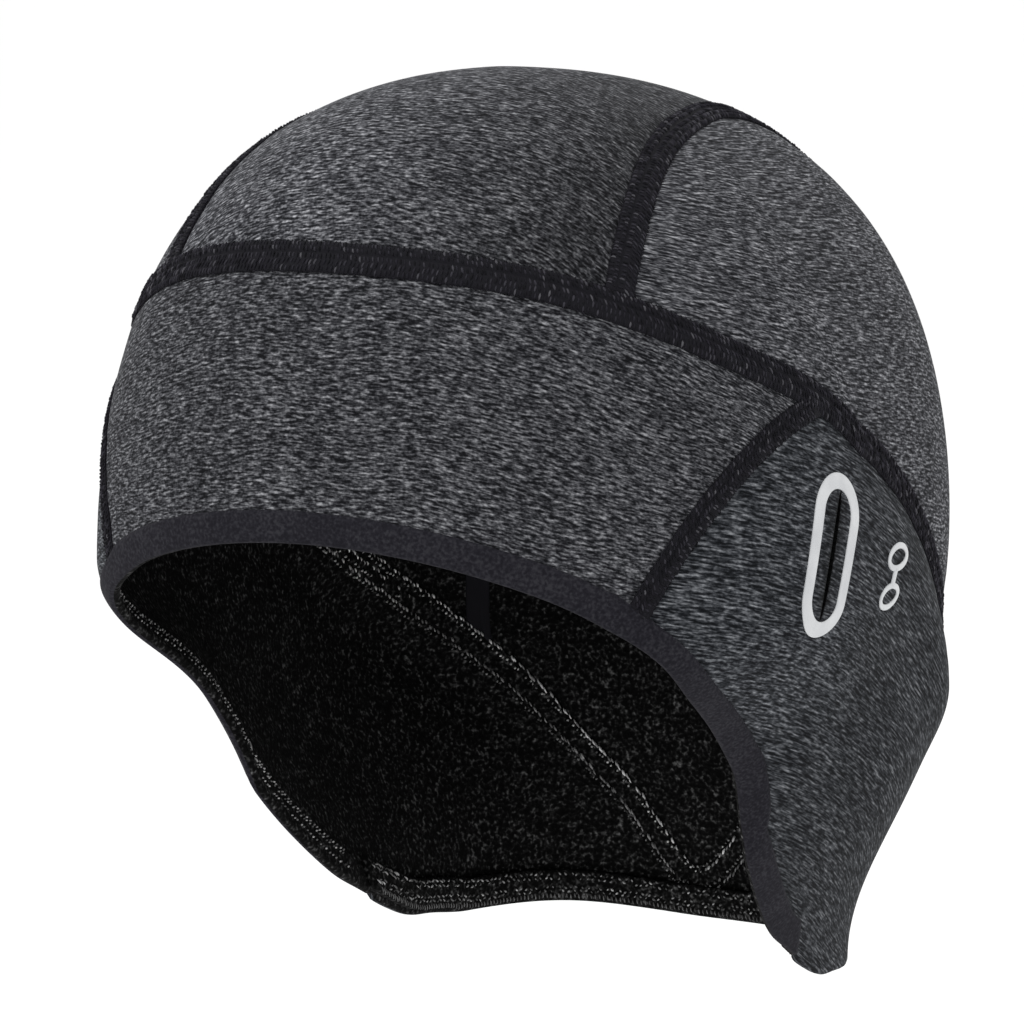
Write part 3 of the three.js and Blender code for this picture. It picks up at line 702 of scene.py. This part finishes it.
# The bare strip under the threads is darkened: painted shade for the dark gaps between them.
STRIP_COLUMNS, STRIP_SHADE = 21, 0.12
THREAD_ROWS = ((-1.0, -0.66, 0.5), (-0.68, GROOVE - 0.06, 0.5), (GROOVE + 0.06, 0.2, 0.6), (0.16, 0.62, -0.6),
               (0.58, 1.0, -0.5))  # from and to across the seam, and the stitches' slant in millimetres
THREAD_PITCH, EDGE_PITCH = 0.94, 1.15
NAPE_CLEAR, NAPE_FADE = 38, 22  # degrees off the nape where the inner rows of stitches start and are full


def seam_height(across):
    """Two ridges with a groove between: low + ridge (1 − r⁴), with r from −1 to 1 over each ridge."""
    reach = np.where(across < GROOVE, (2 * across + 1 - GROOVE) / (1 + GROOVE),
                     (2 * across - 1 - GROOVE) / (1 - GROOVE))
    return SEAM_LOW + SEAM_RIDGE * (1 - np.clip(reach, -1, 1) ** 4)


def seam_strip(line, half, at_of, stations, ring=False):
    """The closed strip of a seam. at_of(share, across) says how far along the line each part has come. Its
    face is slot 0 outside and slot 2 inside."""
    across = np.linspace(-1, 1, STRIP_COLUMNS)
    share = np.linspace(0, 1, stations + 1)[:-1] if ring else np.linspace(0, 1, stations + 1)
    places = beside(line, at_of(share[:, None], across), across * half)
    height = seam_height(across)
    points, quads, columns = closed(lifted(places, height), lifted(places, -CLOTH - 0.1 - 0.4 * height), ring)
    inside = (columns >= STRIP_COLUMNS) & (columns < 2 * STRIP_COLUMNS - 1)
    return part(points, quads, np.where(inside, 2, 0), shade=STRIP_SHADE)


def threads(places, lift, radius, taper=0.45, slot=0, shade=0.5):
    """Four-sided tubes along rows of chart places at a lift, thinner at their ends. shade is one number for
    each tube."""
    paths = lifted(places, lift)
    along = unit(np.gradient(paths, axis=1))
    side = unit(np.cross(along, normal_at(places)))
    top = np.cross(side, along)
    thin = np.ones(paths.shape[1])
    thin[[0, -1]] = taper
    turns = np.radians(np.arange(4) * 90)
    ring = np.cos(turns)[:, None] * side[:, :, None] + np.sin(turns)[:, None] * top[:, :, None]
    radii = np.broadcast_to(radius, len(paths))[:, None] * thin
    loops = paths[:, :, None] + ring * radii[:, :, None, None]
    tubes, steps = loops.shape[:2]
    _, quads, _ = sweep(loops[0])
    quads = (quads[None] + (np.arange(tubes) * steps * 4)[:, None, None]).reshape(-1, 4)
    return part(loops.reshape(-1, 3), quads, slot, shade=np.repeat(np.broadcast_to(shade, tubes), steps * 4))


def spaced(line, start, end, pitch):
    """Places along a line at an even pitch on the worn cloth, and millimetres for each step of the line."""
    fine_at = np.linspace(start, end, 600)
    run = lengths(cap_point(line.point(fine_at)), 0)
    count = int(run[-1] / pitch)
    return np.interp((np.arange(count) + 0.5) / count * run[-1], run, fine_at), run[-1] / (end - start)


def seam_threads(line, half, start, end, seed):
    """Threads over a seam outside: rows of short slanting stitches, two over the narrow ridge and three over
    the wide one, a few of them lighter, and short loops along each edge."""
    at, per = spaced(line, start, end, THREAD_PITCH)
    count = len(at)
    rng = np.random.default_rng(seed)
    made = []
    reach = np.linspace(0, 1, 4)
    for low, high, slant in THREAD_ROWS:
        across = low + (high - low) * reach + rng.normal(0, 0.03, (count, 1))
        shift = ((reach - 0.5) * slant + rng.normal(0, 0.12, (count, 1))) / per
        places = beside(line, at[:, None] + shift, across * half)
        lift = seam_height(across) + np.array([-0.1, 0.08, 0.08, -0.1]) + rng.normal(0, 0.04, (count, 1))
        radius = rng.uniform(0.17, 0.26, count)
        bright = rng.uniform(0, 0.9, count) ** 1.3
        made.append(threads(places, lift, radius, 0.3, shade=bright))
    at, per = spaced(line, start, end, EDGE_PITCH)
    for sign in (-1, 1):
        shift = (np.array([-0.45, 0, 0.45]) + rng.normal(0, 0.08, (len(at), 1))) / per
        across = sign * (0.99 + 0.05 * np.array([-1, 1, -1])) + rng.normal(0, 0.02, (len(at), 1))
        places = beside(line, at[:, None] + shift, across * half)
        lift = 0.06 + 0.12 * np.array([0, 1, 0])
        made.append(threads(places, lift, 0.2, shade=rng.uniform(0, 0.4, len(at))))
    return made


def seam_stitches(line, half, start, end, seed, rows=(-0.95, -0.62, -0.2, 0.3, 0.62, 0.95), pitch=1.3):
    """Rows of short uneven grey stitches inside a seam, each row half a step on from the last. Towards the
    nape the inner rows stop and the lower ones are darker."""
    rng = np.random.default_rng(seed)
    made = []
    for i, across in enumerate(rows):
        at, per = spaced(line, start, end, pitch)
        from_nape = ease((np.abs((at % 360) - 180) - NAPE_CLEAR) / NAPE_FADE)
        share = 0.92 * (from_nape if abs(across) < 0.5 else 1)
        kept = rng.uniform(0, 1, len(at)) < share
        tone = (1 if across < 0 else 0.45 + 0.55 * from_nape) * np.ones(len(at))
        at, tone = (at + (0.5 * pitch * (i % 2) + rng.normal(0, 0.2, len(at))) / per)[kept], tone[kept]
        size = rng.uniform(0.6, 1.25, (len(at), 1))
        shift = np.array([-0.28, 0, 0.28]) * size / per
        slant = np.array([-0.22, 0, 0.22]) * (1 if i % 2 else -1) + rng.normal(0, 0.16, (len(at), 1))
        places = beside(line, at[:, None] + shift, across * half + slant)
        lift = -CLOTH - 0.36 - np.array([0, 0.26, 0])
        bright = rng.uniform(0.15, 1, len(at)) * tone
        made.append(threads(places, lift, 0.27 * size[:, 0], 0.6, 1, bright))
    return made


seam_thread, tree, shader = material("seam_thread", 0.85, 0.12)
tone = colour_ramp(tree, shade_of(tree), [
    (0.0, (0.005, 0.005, 0.0065)), (0.45, (0.0165, 0.0155, 0.021)), (0.75, (0.038, 0.0365, 0.045)),
    (1.0, (0.13, 0.128, 0.138))])
dress(tree, shader, tone, speckle(tree, 2600.0), 0.5, 0.0002)

stitch_thread, tree, shader = material("stitch_thread", 0.7, 0.3)
dress(tree, shader, colour_ramp(tree, shade_of(tree), [(0.0, 0.05), (0.4, 0.28), (1.0, 0.85)]))

band = joined("band_seam_sewn", [
    seam_strip(band_line, BAND_HALF, lambda share, across: share * 360, 240, True),
    *seam_threads(band_line, BAND_HALF, 0.0, 360.0, 11),
    *seam_stitches(band_line, BAND_HALF, 0.0, 360.0, 12),
], [seam_thread, stitch_thread, fleece])
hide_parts("band_seam")

# Crown seams: from the band seam over the forehead, over the top and down to the band seam at the nape
# Real pieces: the same flat seam of black looped threads, dark grey inside too.
TUCKED = 0.6  # how far the end of a seam runs in under the band seam


def seam_end(line, half, round_line, aside, search_end):
    """Says where each part across a seam meets a round line, so that its end is cut aslant."""
    return lambda across: crossing(line, across * half, round_line, aside, search_end)[0]


def between(start, end):
    """How far along a line each part of a seam has come."""
    return lambda share, across: start(across) * (1 - share) + end(across) * share


crown_from = seam_end(crown_line, CROWN_HALF, band_line, -BAND_HALF + TUCKED, FRONT_SEARCH)
crown_to = seam_end(crown_line, CROWN_HALF, band_line, -BAND_HALF + TUCKED, NAPE_SEARCH)


def crown_seam(side, mirror):
    start, end = float(crown_from(0.0)), float(crown_to(0.0))
    made = joined(f"crown_seam_{side}_sewn", [
        seam_strip(crown_line, CROWN_HALF, between(crown_from, crown_to), 200),
        *seam_threads(crown_line, CROWN_HALF, start, end, 21),
    ], [seam_thread, stitch_thread, seam_thread], mirror)
    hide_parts(f"crown_seam_{side}")
    return made


crown_seams = both_sides(crown_seam)

# Ear seams: short slanting seams from the band seam down to the binding
# Real pieces: the same flat seam, a little narrower.
BINDING_TUCKED = 0.8  # how far the seam's foot runs in under the binding
ear_from = seam_end(ear_line, EAR_HALF, band_line, BAND_HALF - TUCKED, EAR_TOP_SEARCH)
ear_to = seam_end(ear_line, EAR_HALF, edge_line, -BINDING_WIDTH + BINDING_TUCKED, EAR_FOOT_SEARCH)


def ear_seam(side, mirror):
    start, end = float(ear_from(0.0)), float(ear_to(0.0))
    made = joined(f"ear_seam_{side}_sewn", [
        seam_strip(ear_line, EAR_HALF, between(ear_from, ear_to), 50),
        *seam_threads(ear_line, EAR_HALF, start, end, 31),
        *seam_stitches(ear_line, EAR_HALF, start, end, 32, rows=(-0.8, 0.8)),
    ], [seam_thread, stitch_thread, fleece], mirror)
    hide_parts(f"ear_seam_{side}")
    return made


ear_seams = both_sides(ear_seam)

# Face binding: a smooth strip folded round the edge of the face opening, from ear to ear
# Real piece: charcoal elastic, matt with a fine speckle, turned under along both of its edges.
BINDING_STATIONS, BINDING_SLANT, FOLD_UP = 420, 0.028, 0.9
BULGE, BINDING_DIP = 0.16, -0.3  # the strip's swell, and how its sewn edge dips
LINING_OUT, SKIN_OUT = 0.05, 0.55  # how far the elastic's two faces stand off the cloth
PRESSED = 0.55  # how far its tension presses the cloth together, each side


def pressed_in(up):
    """The elastic presses most at the edge and not at all along its seam."""
    return PRESSED * (1 - up / BINDING_WIDTH)


def end_slant(up):
    """The binding's ends are cut aslant: it goes further round at the edge than along its seam."""
    return 1 + BINDING_SLANT * (1 - up / BINDING_WIDTH)


around = np.linspace(-BINDING_END, BINDING_END, BINDING_STATIONS)[:, None]
width_steps = np.linspace(BINDING_WIDTH, FOLD_UP, 9)
bulge = BULGE * np.sin(np.pi * (BINDING_WIDTH - width_steps) / (BINDING_WIDTH - 0.5)) ** 0.5
bulge[0] = BINDING_DIP
skin_out = SKIN_OUT + bulge - pressed_in(width_steps)
fold = np.radians(np.linspace(15, 165, 9))
skin_up = np.concatenate([width_steps, FOLD_UP - FOLD_UP * np.sin(fold), width_steps[::-1]])
fold_lift = -CLOTH / 2 + (CLOTH / 2 + skin_out[-1]) * np.cos(fold)
skin_lift = np.concatenate([skin_out, fold_lift, -CLOTH - skin_out[::-1]])
lining_up = np.maximum(skin_up, BINDING_FOLD + 0.25)
lining_out = LINING_OUT - pressed_in(np.clip(lining_up, 0, BINDING_WIDTH))
lining_lift = np.clip(skin_lift, -CLOTH - lining_out, lining_out)
skin = lifted(beside(edge_line, around * end_slant(skin_up), -skin_up), skin_lift)
lining = lifted(beside(edge_line, around * end_slant(lining_up), -lining_up), lining_lift)
points, quads, columns = closed(skin, lining)
inner = (columns >= 12) & (columns < 27)  # from past the fold's middle on, it looks like the fleece
binding_parts = [part(points, quads, np.where(inner, 2, 0))]
rng = np.random.default_rng(51)
for row_up, shifted in ((6.3, 0.0), (5.2, 0.7), (2.6, 0.3)):
    at, per = spaced(edge_line, -BINDING_END + 1, BINDING_END - 1, 1.5)
    at = at + (shifted + rng.normal(0, 0.14, len(at))) / per
    shift = np.linspace(-0.28, 0.28, 4) / per
    rising = -row_up + np.linspace(-0.2, 0.2, 4) + rng.normal(0, 0.12, (len(at), 1))
    places = beside(edge_line, at[:, None] + shift, rising)
    lift = -CLOTH - SKIN_OUT + pressed_in(row_up) - 0.1 - np.array([0, 0.2, 0.2, 0])
    bright = rng.uniform(0, 0.75, len(at))
    binding_parts.append(threads(places, lift, 0.22, 0.6, 1, bright))

binding_cloth, tree, shader = material("elastic_binding", 0.9, 0.09)
specks = speckle(tree, 1500.0)
tone = colour_ramp(tree, mixed(tree, (specks, 0.8), (speckle(tree, 90.0), 0.2)), [
    (0.38, (0.0088, 0.0084, 0.0115)), (0.5, (0.0138, 0.0132, 0.0175)), (0.66, (0.0265, 0.026, 0.031))])
dress(tree, shader, tone, specks, 0.2, 0.0001)
binding = joined("face_binding_elastic", binding_parts, [binding_cloth, stitch_thread, fleece])
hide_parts("face_binding")

# Neck hem: the cloth turned in below the ears and round the nape
# Real piece: the same cloth, fleece side out, held by two zigzag rows of grey thread and overlocked at its
# edge with short ticks of thread.
HEM_START, HEM_EDGE, HEM_WIDTH, HEM_THICK = 107.0, 0.3, 7.0, 1.6
HEM_FACE = -CLOTH - HEM_THICK
hem_around = np.linspace(HEM_START, 360 - HEM_START, 300)
hem_up = np.linspace(HEM_EDGE, HEM_WIDTH, 12)
hem_swell = 0.3 * np.sin(np.pi * (hem_up - HEM_EDGE) / (HEM_WIDTH - HEM_EDGE)) ** 0.5
hem_places = beside(edge_line, hem_around[:, None], -hem_up)
hem_shell = closed(lifted(hem_places, -CLOTH + 0.1), lifted(hem_places, HEM_FACE - hem_swell))
hem_parts = [part(*hem_shell[:2])]
rng = np.random.default_rng(41)
for row_up, shifted in ((6.2, 0.0), (5.2, 0.8), (3.0, 0.3), (2.1, 1.0)):
    at, per = spaced(edge_line, HEM_START + 1, 359 - HEM_START, 1.6)
    kept = rng.uniform(0, 1, len(at)) > 0.12
    at = (at + (shifted + rng.normal(0, 0.2, len(at))) / per)[kept]
    size = rng.uniform(0.7, 1.3, (len(at), 1))
    shift = np.linspace(-0.32, 0.32, 4) * size / per
    rising = -row_up + np.linspace(-0.25, 0.25, 4) * np.where(rng.uniform(0, 1, (len(at), 1)) > 0.5, 1, -1)
    places = beside(edge_line, at[:, None] + shift, rising + rng.normal(0, 0.12, (len(at), 1)))
    lift = HEM_FACE - 0.15 - 0.25 * np.array([0, 1, 1, 0])
    bright = rng.uniform(0, 0.7, len(at)) * rng.uniform(0.4, 1, len(at))
    hem_parts.append(threads(places, lift, 0.2 * size[:, 0], 0.6, 1, bright))
at, per = spaced(edge_line, HEM_START + 1, 359 - HEM_START, 1.1)
tick = np.linspace(0.3, 1.5, 4) + rng.normal(0, 0.1, (len(at), 1))
places = beside(edge_line, at[:, None] + np.linspace(-0.15, 0.15, 4) / per, -tick)
lift = HEM_FACE - 0.25 * np.array([0.2, 1, 1, 0.3])
bright = rng.uniform(0, 0.14, len(at))
hem_parts.append(threads(places, lift, 0.16, slot=1, shade=bright))
hem = joined("neck_hem_turned", hem_parts, [fleece, stitch_thread])
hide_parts("neck_hem")

# Slot rings and glasses signs: printed round and behind each slit
# Real pieces: a thin silver film pressed on the cloth, satin, with soft edges.
RING = {"length": 34.0, "width": 17.0, "band": 3.4}
SIGN = {"around": 95.6, "down": 149.1, "lean": 25.0, "spacing": 8.8, "line": 1.35, "bridge": 1.9}
LENS_OVAL = {"across": 11.2, "up": 6.0}
FILM = np.array([(0.0, 0.0), (0.04, 0.7), (0.12, 1.0), (0.5, 1.0), (0.88, 1.0), (0.96, 0.7), (1.0, 0.0)])
FILM_LIFT, FILM_THICK, FILM_FOOT = 0.08, 0.2, -0.25
silver, tree, shader = material("silver_print", 0.42, 0.5)
tone = colour_ramp(tree, speckle(tree, 160.0, 3.0), [(0.3, (0.5, 0.51, 0.525)), (0.7, (0.6, 0.61, 0.62))])
dress(tree, shader, tone, speckle(tree, 1800.0, 1.0), 0.25, 0.0001)


def printed(places, ring=False):
    """A printed line from rows of places across it, thicker in the middle than at its edges."""
    top = lifted(places, FILM_LIFT + FILM_THICK * FILM[:, 1])
    return part(*closed(top, lifted(places, FILM_FOOT), ring)[:2])


def film(draw, x, y, nx, ny, line):
    """A printed line of even width inside a closed outline."""
    inward = FILM[:, 0] * line
    return printed(draw(x[:, None] - nx[:, None] * inward, y[:, None] - ny[:, None] * inward), True)


def pill(length, width, count=36, rows=16):
    """An outline with round ends and straight sides, and the direction square to it."""
    radius, half = width / 2, (length - width) / 2
    turns = np.linspace(0, np.pi, count)
    nx = np.concatenate([np.cos(turns), np.full(rows - 2, -1.0)])
    ny = np.concatenate([np.sin(turns), np.zeros(rows - 2)])
    middle = np.concatenate([np.full(count, half), np.linspace(half, -half, rows)[1:-1]])
    nx, ny, middle = (np.concatenate([way, -way]) for way in (nx, ny, middle))
    return radius * nx, middle + radius * ny, nx, ny


def level_oval(across, up, middle, count=48):
    """An oval that lies level although its sign leans, and the direction square to it."""
    turns = np.linspace(0, 2 * np.pi, count, endpoint=False)
    lean = np.radians(SIGN["lean"])
    turned = np.array([[np.cos(lean), -np.sin(lean)], [np.sin(lean), np.cos(lean)]])
    x, y = turned @ np.stack([across / 2 * np.cos(turns), up / 2 * np.sin(turns)])
    nx, ny = turned @ unit(np.stack([np.cos(turns) / across, np.sin(turns) / up], axis=-1)).T
    return x, y + middle, nx, ny


def slot_ring(side, mirror):
    made = joined(f"slot_ring_{side}_print", [
        film(slit_draw, *pill(RING["length"], RING["width"]), RING["band"])], [silver], mirror)
    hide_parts(f"slot_ring_{side}")
    return made


def glasses_sign(side, mirror):
    """Two lenses one above the other, with a short bar between them."""
    draw = mark_frame(SIGN)
    reach = (SIGN["spacing"] - LENS_OVAL["up"]) / 2 + SIGN["line"] / 3
    bar = draw((FILM[:, 0] - 0.5) * SIGN["bridge"], np.linspace(-reach, reach, 7)[:, None])
    ovals = [film(draw, *level_oval(*LENS_OVAL.values(), end * SIGN["spacing"] / 2), SIGN["line"])
             for end in (-1, 1)]
    made = joined(f"glasses_sign_{side}_print", [*ovals, printed(bar)], [silver], mirror)
    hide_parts(f"glasses_sign_{side}")
    return made


rings = both_sides(slot_ring)
signs = both_sides(glasses_sign)
